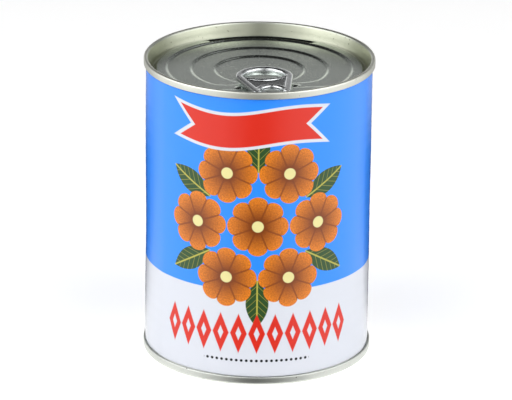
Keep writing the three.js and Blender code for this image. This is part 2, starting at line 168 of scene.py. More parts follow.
class Bench:
    """Modelling steps that every piece shares, done with Blender's own operators."""

    @staticmethod
    def clear_choice() -> None:
        """Deselects everything in object mode, so that an operator acts on the new piece alone."""
        if bpy.context.object is not None and bpy.context.object.mode != "OBJECT":
            bpy.ops.object.mode_set(mode="OBJECT")
        bpy.ops.object.select_all(action="DESELECT")

    @staticmethod
    def choose(*objects: Piece) -> None:
        """Selects these objects only, the first of them active.

        Args:
            objects: The objects to select.
        """
        Bench.clear_choice()
        for item in objects:
            item.select_set(True)
        bpy.context.view_layer.objects.active = objects[0]

    @staticmethod
    def settle(piece: Piece) -> None:
        """Puts a piece's place, turn and scale into its mesh."""
        Bench.choose(piece)
        bpy.ops.object.transform_apply(location=True, rotation=True, scale=True)

    @staticmethod
    def turn_about_rivet(piece: Piece) -> None:
        """Turns a piece of the tab about the rivet, and then with the lid.

        Args:
            piece: The piece, built along the lid's own -Y line.
        """
        pivot = Matrix.Translation((0, RIVET_Y, 0))
        about = pivot @ Matrix.Rotation(TAB_TURN, 4, "Z") @ pivot.inverted()
        piece.matrix_world = Matrix.Rotation(LID_TURN, 4, "Z") @ about
        Bench.settle(piece)

    @staticmethod
    def seal(piece: Piece) -> None:
        """Merges a mesh's doubles and turns its faces outwards.

        Args:
            piece: The object to seal.
        """
        Bench.choose(piece)
        bpy.ops.object.mode_set(mode="EDIT")
        bpy.ops.mesh.select_all(action="SELECT")
        bpy.ops.mesh.remove_doubles(threshold=MERGE_DISTANCE)
        bpy.ops.mesh.normals_make_consistent(inside=False)
        bpy.ops.object.mode_set(mode="OBJECT")

    @staticmethod
    def draw(name: str, points: Sequence[Triple]) -> Piece:
        """Extrudes one vertex from point to point into a line, left selected in edit mode.

        Args:
            name: The new object's name.
            points: The line's points.

        Returns:
            The new object.
        """
        Bench.clear_choice()
        bpy.ops.mesh.primitive_plane_add(size=MM, location=(0, 0, 0))
        piece = bpy.context.object
        piece.name = piece.data.name = name
        bpy.ops.object.mode_set(mode="EDIT")
        bpy.ops.mesh.select_mode(type="VERT")
        bpy.ops.mesh.select_all(action="SELECT")
        bpy.ops.mesh.merge(type="CENTER")
        bpy.ops.transform.translate(value=points[0])
        for point, following in zip(points, points[1:]):
            step = tuple(b - a for a, b in zip(point, following))
            bpy.ops.mesh.extrude_vertices_move(TRANSFORM_OT_translate={"value": step})
        bpy.ops.mesh.select_all(action="SELECT")
        return piece

    @staticmethod
    def spin(name: str, outline: Sequence[Pair], steps: int = ROUND_STEPS) -> Piece:
        """Spins an outline beside the Z axis into a solid.

        Args:
            name: The new object's name.
            outline: Radius and height pairs, closed on itself or from the axis to the axis.
            steps: Number of steps round the axis.

        Returns:
            The finished solid, with its faces outwards.
        """
        points = [(radius, 0, height) for radius, height in outline]
        if points[0][0] > 0:
            points.append(points[0])
        piece = Bench.draw(name, points)
        bpy.ops.mesh.spin(steps=steps, angle=math.tau, center=(0, 0, 0), axis=(0, 0, 1))
        Bench.seal(piece)
        return piece

    @staticmethod
    def plate(name: str, outline: Sequence[Pair], low: float, high: float) -> Piece:
        """Fills a flat outline and extrudes it upwards.

        Args:
            name: The new object's name.
            outline: The corners in order, as X and Y pairs.
            low: Height of the underside.
            high: Height of the top.

        Returns:
            The plate as a closed mesh.
        """
        piece = Bench.draw(name, [(x, y, low) for x, y in outline])
        bpy.ops.mesh.edge_face_add()
        bpy.ops.mesh.extrude_region_move(TRANSFORM_OT_translate={"value": (0, 0, high - low)})
        Bench.seal(piece)
        return piece

    @staticmethod
    def line(name: str, points: Sequence[Triple | Vector], closed: bool) -> Piece:
        """Adds a curve of straight parts.

        Args:
            name: The new object's name.
            points: The curve's points.
            closed: Whether it closes on itself.

        Returns:
            The curve object.
        """
        curve = bpy.data.curves.new(name, "CURVE")
        curve.dimensions = "2D" if closed else "3D"
        spline = curve.splines.new("POLY")
        spline.points.add(len(points) - 1)
        for point, place in zip(spline.points, points):
            point.co = (*place, 1)
        spline.use_cyclic_u = closed
        holder = bpy.data.objects.new(name, curve)
        bpy.context.scene.collection.objects.link(holder)
        return holder

    @staticmethod
    def tube(name: str, path: Sequence[Vector], section: Sequence[Pair]) -> Piece:
        """Sweeps a closed section along an open path that lies flat, and makes it a mesh.

        Args:
            name: The new object's name.
            path: The points of the path.
            section: The section's across and up values.

        Returns:
            The tube as a closed mesh.
        """
        outline = Bench.line(name + "_section", [(across, up, 0) for across, up in section], True)
        swept = Bench.line(name, path, False)
        swept.data.twist_mode = "Z_UP"
        swept.data.bevel_mode = "OBJECT"
        swept.data.bevel_object = outline
        swept.data.use_fill_caps = True
        Bench.choose(swept)
        bpy.ops.object.convert(target="MESH")
        piece = bpy.context.object
        bpy.data.objects.remove(outline)
        Bench.seal(piece)
        return piece

    @staticmethod
    def join(*objects: Piece) -> None:
        """Joins objects into the first."""
        Bench.choose(*objects)
        bpy.ops.object.join()

    @staticmethod
    def apply(piece: Piece, kind: str, **settings: object) -> None:
        """Adds a modifier and applies it.

        Args:
            piece: The object to change.
            kind: The modifier's type.
            settings: The modifier's values by name.
        """
        Bench.choose(piece)
        modifier = piece.modifiers.new(kind.lower(), kind)
        for key, value in settings.items():
            setattr(modifier, key, value)
        bpy.ops.object.modifier_apply(modifier=modifier.name)

    @staticmethod
    def reshape(piece: Piece, rule: Callable[[Array], Array]) -> None:
        """Moves a piece's vertices by a rule.

        Args:
            piece: The object to change.
            rule: Takes an N by 3 array of places and gives back the new one.
        """
        mesh = piece.data
        places = np.empty(len(mesh.vertices) * 3)
        mesh.vertices.foreach_get("co", places)
        mesh.vertices.foreach_set("co", rule(places.reshape(-1, 3)).ravel())
        mesh.update()

    @staticmethod
    def dress(piece: Piece, finish: Finish) -> None:
        """Gives a piece its one material."""
        piece.data.materials.clear()
        piece.data.materials.append(finish)

    @staticmethod
    def smooth(piece: Piece, finish: Finish, degrees: float = 40.0) -> None:
        """Shades a piece smooth up to an angle between its faces, and dresses it.

        Args:
            piece: The object to shade.
            finish: Its material.
            degrees: The angle past which an edge stays sharp.
        """
        Bench.choose(piece)
        bpy.ops.object.shade_smooth_by_angle(angle=math.radians(degrees))
        Bench.dress(piece, finish)


class Tree:
    """A node tree, with short calls for the nodes that the finishes and the room use."""

    def __init__(self, tree: bpy.types.NodeTree) -> None:
        """Takes up a tree's nodes and links."""
        self.nodes = tree.nodes
        self.links = tree.links

    def feed(self, socket: Socket, value: Fed) -> None:
        """Links a socket into an input, or sets the input to a number, a vector or an opaque colour.

        Args:
            socket: The input.
            value: What goes into it.
        """
        if isinstance(value, Socket):
            self.links.new(value, socket)
        elif socket.type == "RGBA":
            socket.default_value = (*value, 1.0)
        else:
            socket.default_value = value

    def node(self, kind: str, inputs: Inputs | None = None, **settings: object) -> bpy.types.Node:
        """Adds a node.

        Args:
            kind: The node's class name.
            inputs: What goes into its inputs, by name or number.
            settings: Its properties by name.

        Returns:
            The new node.
        """
        added = self.nodes.new(kind)
        for key, value in settings.items():
            setattr(added, key, value)
        for key, value in (inputs or {}).items():
            self.feed(added.inputs[key], value)
        return added

    def math(self, operation: str, *values: Number, clamp: bool = False) -> Socket:
        """The result of a Math node, held between 0 and 1 where clamp is set."""
        inputs = dict(enumerate(values))
        return self.node("ShaderNodeMath", inputs, operation=operation, use_clamp=clamp).outputs[0]

    def product(self, *values: Number) -> Socket:
        """Two values multiplied."""
        return self.math("MULTIPLY", *values)

    def difference(self, *values: Number) -> Socket:
        """The first value less the second."""
        return self.math("SUBTRACT", *values)

    def size(self, value: Number) -> Socket:
        """A value without its sign."""
        return self.math("ABSOLUTE", value)

    def length(self, x: Socket, y: Socket) -> Socket:
        """The distance of a place in a plane from its zero."""
        return self.math("SQRT", self.math("ADD", self.product(x, x), self.product(y, y)))

    def split(self, place: Socket) -> list[Socket]:
        """The three parts of a vector."""
        return list(self.node("ShaderNodeSeparateXYZ", {0: place}).outputs)

    def below(self, value: Number, limit: Number, edge: float) -> Socket:
        """A mask that is 1 under a limit, with a soft edge of the given width."""
        gap = self.difference(limit, value)
        return self.math("MULTIPLY_ADD", gap, 1 / edge, 0.5, clamp=True)

    def span(self, value: Number, low: float, high: float, to_low: float, to_high: float) -> Socket:
        """Maps the range from low to high onto another, held at its ends. A ramp has these four numbers."""
        inputs = {"Value": value, "From Min": low, "From Max": high, "To Min": to_low, "To Max": to_high}
        return self.node("ShaderNodeMapRange", inputs).outputs["Result"]

    def mix(self, share: Number, first: Socket | Colour, second: Socket | Colour) -> Socket:
        """Mixes two colours by the second one's share."""
        inputs = {0: share, 6: first, 7: second}
        return self.node("ShaderNodeMix", inputs, data_type="RGBA").outputs[2]

    def noise(self, place: Socket, scale: float, detail: float, rough: float) -> Socket:
        """A noise texture's level, with the number and strength of its finer layers."""
        inputs = {"Vector": place, "Scale": scale, "Detail": detail, "Roughness": rough}
        return self.node("ShaderNodeTexNoise", inputs).outputs["Fac"]


class Shader(Tree):
    """A material's nodes round one Principled shader."""

    def __init__(self, name: str) -> None:
        """Starts a material with its shader and Object coordinates.

        Args:
            name: The material's name.
        """
        self.material = bpy.data.materials.new(name)
        self.material.use_nodes = True
        super().__init__(self.material.node_tree)
        self.surface = next(node for node in self.nodes if node.type == "BSDF_PRINCIPLED")
        self.object = self.node("ShaderNodeTexCoord").outputs["Object"]

    def bump(self, height: Socket, distance: float, strength: float = 1.0) -> None:
        """Adds a bump to the surface, over any bump that is already there.

        Args:
            height: The height from 0 to 1.
            distance: Real height in metres.
            strength: Share of the bump that shows.
        """
        added = self.node("ShaderNodeBump", {"Strength": strength, "Distance": distance, "Height": height})
        normal = self.surface.inputs["Normal"]
        if normal.is_linked:
            self.feed(added.inputs["Normal"], normal.links[0].from_socket)
        self.feed(normal, added.outputs["Normal"])

    def set(self, **values: Fed) -> None:
        """Sets the shader's own inputs, with underscores for the spaces in their names."""
        for key, value in values.items():
            self.feed(self.surface.inputs[key.replace("_", " ")], value)


@dataclass(frozen=True)
class Tinplate:
    """Tin-coated sheet steel with a fine rolled grain, faint specks and a soft shine."""

    name: str
    colour: Colour
    roughness: float
    grain: float
    speck_share: float = 0.02
    grain_size: float = 4200.0
    grain_stretch: Triple = (1.0, 0.06, 0.3)
    grain_tone: Ramp = (0.3, 0.7, 0.96, 1.03)
    cloud_size: float = 90.0
    cloud_tone: Ramp = (0.3, 0.7, 0.95, 1.04)
    dirt_size: float = 900.0
    dirt_edges: Pair = (0.76, 0.8)
    dirt_share: float = 0.75
    dirt: Colour = linear(70, 66, 58)
    # Painted shade: a near-black laid over a sunk band, standing in for the shadows in its pressed lettering.
    sunk: Colour = linear(58, 60, 55)

    def make(self) -> Finish:
        """Builds the material.

        Returns:
            The tinplate material.
        """
        shader = Shader(self.name)
        turned = {"Vector": shader.object, "Scale": self.grain_stretch, "Rotation": (0, 0, LID_TURN)}
        rolled = shader.node("ShaderNodeMapping", turned).outputs["Vector"]
        lines = shader.noise(rolled, self.grain_size, 3.0, 0.6)
        fine = shader.noise(shader.object, self.grain_size * 0.6, 2.0, 0.6)
        cloud = shader.noise(shader.object, self.cloud_size, 3.0, 0.55)
        tone = shader.product(shader.span(lines, *self.grain_tone), shader.span(cloud, *self.cloud_tone))
        rough = shader.span(fine, 0.25, 0.75, self.roughness * 0.85, self.roughness * 1.2)
        sheet, rough, sunk = self.zones(shader, rough)
        scaled = shader.node("ShaderNodeVectorMath", {0: sheet, "Scale": tone}, operation="SCALE")
        dirt = shader.noise(shader.object, self.dirt_size, 1.0, 0.4)
        edges = (edge - self.speck_share for edge in self.dirt_edges)
        specks = shader.span(dirt, *edges, 0.0, self.dirt_share)
        colour = shader.mix(specks, scaled.outputs[0], self.dirt)
        # Lays the painted shade over what is sunk.
        colour = shader.mix(sunk, colour, self.sunk)
        shader.set(Base_Color=colour, Metallic=1.0, Roughness=rough)
        shader.bump(lines, self.grain * MM, 0.5)
        shader.bump(fine, self.grain * MM, 0.6)
        return shader.material

    def zones(self, shader: Shader, rough: Socket) -> Zones:
        """The colour, the roughness and the mask of painted shade over what is sunk: a plain sheet is the
        same all over.
        """
        return self.colour, rough, 0.0


@dataclass(frozen=True)
class LidTinplate(Tinplate):
    """The lid's sheet: lacquered on its wall, duller where it is folded over, with painted shade in its sunk
    band.
    """

    lacquer: Colour = linear(181, 184, 166)
    folded: Colour = linear(224, 225, 215)
    wall_start: Pair = (38.5 * MM, 39.4 * MM)
    wall_end: Pair = (41.9 * MM, 42.4 * MM)
    fold_start: Pair = (42.0 * MM, 42.5 * MM)
    band_radius: float = 36.8 * MM
    band_half: Pair = (1.1 * MM, 1.5 * MM)
    shade_band_back: Pair = (30.3 * MM, 31.8 * MM)
    wall_roughness: float = 0.1
    fold_roughness: float = 0.16

    def zones(self, shader: Shader, rough: Socket) -> Zones:
        """The lid's colour and roughness, and the mask of the painted shade in its sunk band.

        Args:
            shader: The material being built.
            rough: The plain sheet's roughness.

        Returns:
            The colour, the roughness and the mask.
        """
        x, y, _ = shader.split(shader.object)
        reach = shader.length(x, y)
        inside = shader.span(reach, *self.wall_start, 0.0, 1.0)
        wall = shader.product(inside, shader.span(reach, *self.wall_end, 1.0, 0.0))
        fold = shader.span(reach, *self.fold_start, 0.0, 1.0)
        # The sunk band at the back is masked for painted shade, standing in for the shadows in its pressed
        # lettering.
        off = shader.size(shader.difference(reach, self.band_radius))
        across = shader.span(off, *self.band_half, 1.0, 0.0)
        band = shader.product(across, shader.span(y, *self.shade_band_back, 0.0, 1.0))
        sheet = shader.mix(wall, shader.mix(fold, self.colour, self.folded), self.lacquer)
        rough = shader.math("MULTIPLY_ADD", wall, self.wall_roughness, rough)
        rough = shader.math("MULTIPLY_ADD", fold, self.fold_roughness, rough)
        return sheet, rough, band


@dataclass(frozen=True)
class Plain:
    """A simple moulded, wet or soft stuff with mottled colour and a fine bump."""

    name: str
    colour: Colour
    second: Colour
    roughness: float
    mottle: float
    bump_height: float
    see_through: float = 0.0

    def make(self) -> Finish:
        """Builds the material.

        Returns:
            The mottled material.
        """
        shader = Shader(self.name)
        cloud = shader.noise(shader.object, self.mottle, 4.0, 0.6)
        colour = shader.mix(shader.span(cloud, 0.35, 0.65, 0.0, 1.0), self.colour, self.second)
        shader.set(Base_Color=colour, Roughness=self.roughness, Transmission_Weight=self.see_through)
        shader.bump(shader.noise(shader.object, self.mottle * 6, 3.0, 0.6), self.bump_height * MM)
        return shader.material


@dataclass(frozen=True)
class Row:
    """A printed row of like marks: their spacing and half height, its height and its half length."""

    pitch: float
    half: float
    centre: float
    reach: float


@dataclass(frozen=True)
class LabelPrint:
    """Semi-gloss printed paper: a blue field over a white band, with a plain ornament of rosettes and a
    painted shadow from the seam along its top edge.

    The label's own UV map runs once round the wrap and once up it. All places here are in
    millimetres, across from the middle of the front and up from the tin's base.
    """

    wrap_length: float
    height: float
    front: float
    low: float
    soft: float = 0.25
    white_top: float = 37.5
    blue: Colour = (0.019, 0.243, 0.93)
    white: Colour = (0.63, 0.655, 0.715)
    # Painted shadow of the seam along the label's top edge: its colour, the depths under the top where it
    # starts and is full, and its strength.
    edge: Colour = (0.01, 0.12, 0.42)
    seam_shadow_depths: Pair = (0.4, 0.1)
    seam_shadow_share: float = 0.55
    red: Colour = linear(208, 38, 18)
    orange: Colour = linear(226, 128, 26)
    brown: Colour = linear(120, 56, 10)
    cream: Colour = linear(222, 214, 148)
    green: Colour = linear(44, 76, 36)
    vein: Colour = linear(176, 170, 70)
    black: Colour = linear(24, 26, 30)
    middle: Pair = (0.0, 63.0)
    marks: int = 6
    rosette_spacing: float = 23.6
    rosette_radius: float = 11.6
    rosette_waist: float = 0.8
    rosette_turns: float = 4.0
    petal_shade: float = 2.6
    petal_seam: Pair = (1.3, 0.8)
    seam_share: float = 0.75
    heart: Pair = (2.9, 2.2)
    leaf_reach: float = 30.5
    leaf_half: Pair = (9.5, 4.3)
    leaf_vein: Pair = (0.28, 0.2)
    rib_rate: float = 2.4
    ribs: Ramp = (0.9, 1.0, 0.0, 0.6)
    ribbon_middle: Pair = (-3.5, 101.0)
    ribbon_half: Pair = (28.5, 6.2)
    ribbon_notch: float = 7.0
    ribbon_border: Pair = (1.9, 1.2)
    ribbon_sway: Pair = (0.11, 1.5)
    lozenge_row: Row = Row(6.9, 7.9, 20.4, 38.0)
    lozenge_half: float = 3.2
    hollow: float = 0.34
    dot_row: Row = Row(1.9, 0.55, 9.6, 20.5)

    def make(self) -> Finish:
        """Prints the label by these sizes and colours."""
        return Press(self).run()


class Press:
    """Prints a label's fields and ornament, colour over colour, in the nodes of its material."""

    def __init__(self, look: LabelPrint) -> None:
        """Starts the material with its places in millimetres and its two fields.

        Args:
            look: The label's sizes and colours.
        """
        self.look = look
        shader = self.shader = Shader("label_print")
        round_it, up, _ = shader.split(shader.node("ShaderNodeUVMap", uv_map="wrap").outputs[0])
        self.x = shader.math("MULTIPLY_ADD", round_it, look.wrap_length, -look.front)
        self.y = shader.math("MULTIPLY_ADD", up, look.height, look.low)
        place = shader.node("ShaderNodeCombineXYZ", {0: self.x, 1: self.y}).outputs[0]
        self.speckle = shader.span(shader.noise(place, 1.6, 3.0, 0.7), 0.3, 0.62, 0.45, 1.15)
        self.colour = shader.mix(shader.below(self.y, look.white_top, look.soft), look.blue, look.white)

    def paint(self, mask: Socket, colour: Socket | Colour) -> None:
        """Lays a colour over what is printed so far."""
        self.colour = self.shader.mix(mask, self.colour, colour)

    def towards(self, angle: float, reach: float) -> Pair:
        """The place that lies from the ornament's middle at an angle and a distance."""
        return self.look.middle[0] + reach * math.cos(angle), self.look.middle[1] + reach * math.sin(angle)

    def away(self, centre: Pair) -> tuple[Socket, Socket]:
        """How far across and up a place lies from a centre."""
        return self.shader.difference(self.x, centre[0]), self.shader.difference(self.y, centre[1])

    def rosette(self, centre: Pair) -> None:
        """Draws one eight-petalled rosette.

        Args:
            centre: The rosette's middle.
        """
        shader, radius = self.shader, self.look.rosette_radius
        dx, dy = self.away(centre)
        distance = shader.length(dx, dy)
        angle = shader.product(shader.math("ARCTAN2", dy, dx), self.look.rosette_turns)
        wave = shader.size(shader.math("COSINE", angle))
        petal = shader.math("POWER", wave, 0.5)
        waist = self.look.rosette_waist * radius
        rim = shader.math("MULTIPLY_ADD", petal, radius - waist, waist)
        shade = shader.span(distance, self.look.petal_shade, radius, 0.0, 1.0)
        tone = shader.math("MULTIPLY", shade, self.speckle, clamp=True)
        petals = shader.mix(tone, self.look.brown, self.look.orange)
        seam = shader.below(shader.product(wave, distance), *self.look.petal_seam)
        petals = shader.mix(shader.product(seam, self.look.seam_share), petals, self.look.brown)
        for limit, colour in zip(self.look.heart, (self.look.brown, self.look.cream)):
            petals = shader.mix(shader.below(distance, limit, self.look.soft), petals, colour)
        self.paint(shader.below(distance, rim, self.look.soft), petals)

    def leaf(self, angle: float) -> None:
        """Draws one pointed leaf that stands out from the ornament's middle.

        Args:
            angle: The leaf's direction in radians.
        """
        shader, cos, sin = self.shader, math.cos(angle), math.sin(angle)
        dx, dy = self.away(self.towards(angle, self.look.leaf_reach))
        along = shader.math("ADD", shader.product(dx, cos), shader.product(dy, sin))
        side = shader.size(shader.difference(shader.product(dy, cos), shader.product(dx, sin)))
        share = shader.math("DIVIDE", along, self.look.leaf_half[0])
        width = shader.product(shader.difference(1.0, shader.product(share, share)), self.look.leaf_half[1])
        wave = shader.math("SINE", shader.product(shader.difference(along, side), self.look.rib_rate))
        vein = shader.below(side, *self.look.leaf_vein)
        lines = shader.math("MAXIMUM", vein, shader.span(wave, *self.look.ribs))
        inked = shader.mix(lines, self.look.green, self.look.vein)
        self.paint(shader.below(side, width, self.look.soft), inked)

    def ribbon(self) -> None:
        """Draws a plain red ribbon with swallow tails and a white edge."""
        shader, (length, height), notch = self.shader, self.look.ribbon_half, self.look.ribbon_notch
        across, rise = self.away(self.look.ribbon_middle)
        rate, most = self.look.ribbon_sway
        sway = shader.product(shader.math("SINE", shader.product(self.x, rate)), most)
        up = shader.size(shader.difference(rise, sway))
        tail = shader.math("MULTIPLY_ADD", up, notch / height, length - notch)
        wide = shader.math("ADD", tail, self.look.ribbon_border[0])
        border = height + self.look.ribbon_border[1]
        for limit, end, colour in ((border, wide, self.look.white), (height, tail, self.look.red)):
            inside = shader.below(up, limit, self.look.soft)
            mask = shader.math("MINIMUM", inside, shader.below(shader.size(across), end, 0.3))
            self.paint(mask, colour)

    def in_row(self, row: Row) -> tuple[Socket, Socket, Socket]:
        """Where a place lies in a row of marks.

        Args:
            row: The row.

        Returns:
            The places across and up from the nearest mark's middle, and the mask of the row's length.
        """
        shader = self.shader
        phase = shader.math("FRACT", shader.math("MULTIPLY_ADD", self.x, 1 / row.pitch, 0.5))
        across = shader.product(shader.difference(phase, 0.5), row.pitch)
        inside = shader.below(shader.size(self.x), row.reach, 0.2)
        return across, shader.difference(self.y, row.centre), inside

    def lozenges(self) -> None:
        """Draws a row of upright red lozenges with white middles on the white band."""
        shader = self.shader
        across, up, inside = self.in_row(self.look.lozenge_row)
        width = shader.product(shader.size(across), 1 / self.look.lozenge_half)
        size = shader.math("MULTIPLY_ADD", shader.size(up), 1 / self.look.lozenge_row.half, width)
        drawn = shader.difference(shader.below(size, 1.0, 0.1), shader.below(size, self.look.hollow, 0.08))
        self.paint(shader.math("MULTIPLY", drawn, inside, clamp=True), self.look.red)

    def dots(self) -> None:
        """Draws a fine row of black dots under the lozenges."""
        shader = self.shader
        across, up, inside = self.in_row(self.look.dot_row)
        dot = shader.below(shader.length(across, up), self.look.dot_row.half, self.look.soft)
        self.paint(shader.product(dot, inside), self.look.black)

    def run(self) -> Finish:
        """Prints the ornament, lays the painted shadow of the seam along the top edge and finishes the paper.

        Returns:
            The printed paper.
        """
        shader = self.shader
        for index in range(self.look.marks):
            self.leaf(math.tau * (index + 0.5) / self.look.marks)
        for index in range(self.look.marks):
            self.rosette(self.towards(math.tau * index / self.look.marks, self.look.rosette_spacing))
        self.rosette(self.look.middle)
        self.ribbon()
        self.lozenges()
        self.dots()
        # Painted shadow of the seam's overhang, darkening the label's top edge.
        start, end = (self.look.low + self.look.height - depth for depth in self.look.seam_shadow_depths)
        self.paint(shader.span(self.y, start, end, 0.0, self.look.seam_shadow_share), self.look.edge)
        shader.set(Base_Color=self.colour, Roughness=0.5, Specular_IOR_Level=0.05)
        shader.set(Coat_Weight=0.95, Coat_Roughness=0.12, Coat_IOR=1.5)
        shader.bump(shader.noise(shader.object, 1500.0, 4.0, 0.6), 0.006 * MM, 0.7)
        return shader.material


@dataclass(frozen=True)
class FoldedSeam:
    """Section of a folded seam, much the same at both ends of the tin."""

    radius: float
    height: float = 2.9 * MM
    thickness: float = 1.45 * MM
    hook_radius: float = 42.66 * MM
    hook_depth: float = 2.15 * MM
    roof: float = 0.5 * MM
    corner: float = 0.9 * MM
    low_corner: float = 0.3 * MM
    hook_corner: float = 0.15 * MM
    middle_radius: float = 41.3 * MM
    middle_depth: float = 3.0 * MM

    def outline(self) -> list[Triple]:
        """Radius, depth from the seam's end and corner radius, from the sloping wall round to its back."""
        inner = self.radius - self.thickness
        return [
            (self.middle_radius, self.middle_depth, 0),
            (inner, 0.0, self.corner),
            (self.radius, 0.0, self.corner),
            (self.radius, self.height, self.low_corner),
            (self.hook_radius, self.height, self.hook_corner),
            (self.radius - SHEET, self.hook_depth, 0),
            (self.radius - SHEET, self.roof, 0),
            (inner + SHEET, self.roof, 0),
            (self.middle_radius + SHEET, self.middle_depth, 0),
        ]


@dataclass
class EasyOpenEnd:
    """The lid: a folded seam, a sunk wall and a panel that steps down to its middle."""

    top: float
    radius: float
    seam_height: float = 2.7 * MM
    outer_depth: float = 4.35 * MM
    outer_radius: float = 38.7 * MM
    countersink_depth: float = 5.9 * MM
    spacing: float = 0.45 * MM
    first_edge: float = 34.9 * MM
    second_edge: float = 25.7 * MM
    third_edge: float = 16.7 * MM
    first_drop: float = 0.5 * MM
    next_drop: float = 0.45 * MM
    step_width: float = 1.05 * MM
    first_chord: float = 24.5 * MM
    second_chord: float = 18.0 * MM
    first_corner: float = 2.0 * MM
    second_corner: float = 4.0 * MM
    band_middle: float = 89.0
    band_span: float = 31.0
    band_radius: float = 36.8 * MM
    band_half: float = 1.3 * MM
    band_edge: float = 0.5 * MM
    band_drop: float = 0.5 * MM
    dimple_side: float = 10.2 * MM
    dimple_ahead: float = 22.4 * MM
    dimple_radius: float = 2.0 * MM
    dimple_height: float = 0.62 * MM
    dimple_power: float = 0.75
    rivet_stem: float = 1.6 * MM
    rivet_head: float = 2.6 * MM
    neck_depth: float = 3.2 * MM
    crown_depth: float = 2.6 * MM

    @property
    def face(self) -> float:
        """Height of the panel's outer level."""
        return self.top - self.outer_depth

    def outline(self) -> list[Pair]:
        """Section of the sheet, from the middle of its top round to the middle of its underside.

        Returns:
            The outline's points.
        """
        face, under = self.face, self.face - SHEET
        sunk = self.top - self.countersink_depth
        seam = FoldedSeam(self.radius, self.seam_height).outline()
        inside = (
            (-0.5, face, 0),
            (0.1, face, 0.35),
            (0.65, sunk, 0.5),
            (1.85, sunk, 0.6),
            (2.3, sunk + 0.75 * MM, 0),
        )
        outside = (
            (2.55, sunk + 0.6 * MM, 0),
            (2.05, sunk - SHEET, 0.7),
            (0.3, sunk - SHEET, 0.6),
            (-0.2, under, 0.3),
            (-0.5, under, 0),
        )
        walls = [
            [(self.outer_radius + out * MM, level, bend * MM) for out, level, bend in side]
            for side in (inside, outside)
        ]
        fold = [(reach, self.top - depth, bend) for reach, depth, bend in seam]
        bend = rounded([*walls[0], *fold, *walls[1]])
        inward = dense((0.0, face), bend[0], self.spacing)
        outward = dense((0.0, under), bend[-1], self.spacing)
        return [*inward, *bend, *reversed(outward)]

    def drop(self, places: Array) -> Array:
        """How far the panel lies under its outer level.

        Args:
            places: N by 3 array of places.

        Returns:
            The drop at each place, in metres.
        """
        turned = Matrix.Rotation(-LID_TURN, 2)
        x = places[:, 0] * turned[0][0] + places[:, 1] * turned[0][1]
        y = places[:, 0] * turned[1][0] + places[:, 1] * turned[1][1]
        reach = np.hypot(x, y)

        first = soft_least(self.first_chord + y, self.first_edge - reach, self.first_corner)
        second = soft_least(self.second_chord + y, self.second_edge - reach, self.second_corner)
        total = self.first_drop * eased(first / self.step_width + 0.5)
        total += self.next_drop * eased(second / self.step_width + 0.5)
        total += self.next_drop * eased((self.third_edge - reach) / self.step_width + 0.5)
        bearing = np.degrees(np.arctan2(places[:, 1], places[:, 0]))
        past = np.clip(np.abs(bearing - self.band_middle) - self.band_span, 0, None)
        across = np.hypot(places[:, 0], places[:, 1]) - self.band_radius
        band = np.hypot(np.radians(past) * self.band_radius, across)
        total += self.band_drop * eased((self.band_half - band) / self.band_edge)
        for side in (-self.dimple_side, self.dimple_side):
            gap = np.hypot(x - side, y + self.dimple_ahead) / self.dimple_radius
            total -= self.dimple_height * np.clip(1 - gap * gap, 0, None) ** self.dimple_power
        return total

    def lower(self, places: Array) -> Array:
        """Steps the flat panel down.

        Args:
            places: N by 3 array of places.

        Returns:
            The places, with the panel stepped.
        """
        reach = np.hypot(places[:, 0], places[:, 1])
        panel = (reach < self.outer_radius - self.spacing) & (places[:, 2] < self.face + 0.1 * MM)
        places[:, 2] -= np.where(panel, self.drop(places), 0)
        return places

    def rivet(self) -> Piece:
        """Builds the rivet that stands up out of the panel.

        Returns:
            The rivet in its place.
        """
        low = self.face - 0.1 * MM
        neck, crown = self.top - self.neck_depth, self.top - self.crown_depth
        head = rounded(
            [
                (self.rivet_stem, low, 0),
                (self.rivet_stem, neck, 0.1 * MM),
                (self.rivet_head, neck, 0.15 * MM),
                (self.rivet_head, crown - 0.1 * MM, 0.3 * MM),
                (self.rivet_head - 0.9 * MM, crown, 0.4 * MM),
                (0.0, crown + 0.02 * MM, 0),
            ]
        )
        piece = Bench.spin("rivet", [(0.0, low), *head], 64)
        piece.location = Matrix.Rotation(LID_TURN, 3, "Z") @ Vector((0, RIVET_Y, 0))
        Bench.settle(piece)
        return piece

    def build(self, finish: Finish) -> Piece:
        """Builds the lid and puts it in place of its plain solid.

        Args:
            finish: The lid's material.

        Returns:
            The lid.
        """
        piece = Bench.spin("lid_sheet", self.outline())
        Bench.reshape(piece, self.lower)
        Bench.join(piece, self.rivet())
        Bench.smooth(piece, finish)
        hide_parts("top_end")
        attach(piece, Body.TIN.value)
        return piece


@dataclass
class BaseEnd:
    """The base: a folded seam and a recessed panel with one raised bead."""

    radius: float
    corner: float = 0.45 * MM
    panel: float = 3.0 * MM
    countersink: float = 4.0 * MM
    panel_reach: float = 38.2 * MM
    countersink_reach: Pair = (39.1 * MM, 40.5 * MM)
    bead_radius: float = 29.0 * MM
    bead_height: float = 0.7 * MM
    bead_half: Pair = (0.7 * MM, 2.0 * MM)
    bend: float = 0.5 * MM
    bead_bends: Pair = (0.6 * MM, 0.8 * MM)

    def build(self, finish: Finish) -> Piece:
        """Builds the base and puts it in place of its plain solid.

        Args:
            finish: The base's material.

        Returns:
            The base.
        """
        bead = self.panel - self.bead_height
        (narrow, wide), (top_bend, foot_bend) = self.bead_half, self.bead_bends
        line = [
            (self.bead_radius - wide, self.panel, foot_bend),
            (self.bead_radius - narrow, bead, top_bend),
            (self.bead_radius + narrow, bead, top_bend),
            (self.bead_radius + wide, self.panel, foot_bend),
            (self.panel_reach, self.panel, self.bend),
            *[(reach, self.countersink, self.bend) for reach in self.countersink_reach],
        ]
        upper = [(reach, height + SHEET, bend) for reach, height, bend in reversed(line)]
        seam = FoldedSeam(self.radius, corner=self.corner).outline()
        outline = rounded([(0.0, self.panel, 0), *line, *seam, *upper, (0.0, self.panel + SHEET, 0)])
        piece = Bench.spin("base_end", outline)
        Bench.smooth(piece, finish)
        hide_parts("bottom_end")
        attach(piece, Body.TIN.value)
        return piece


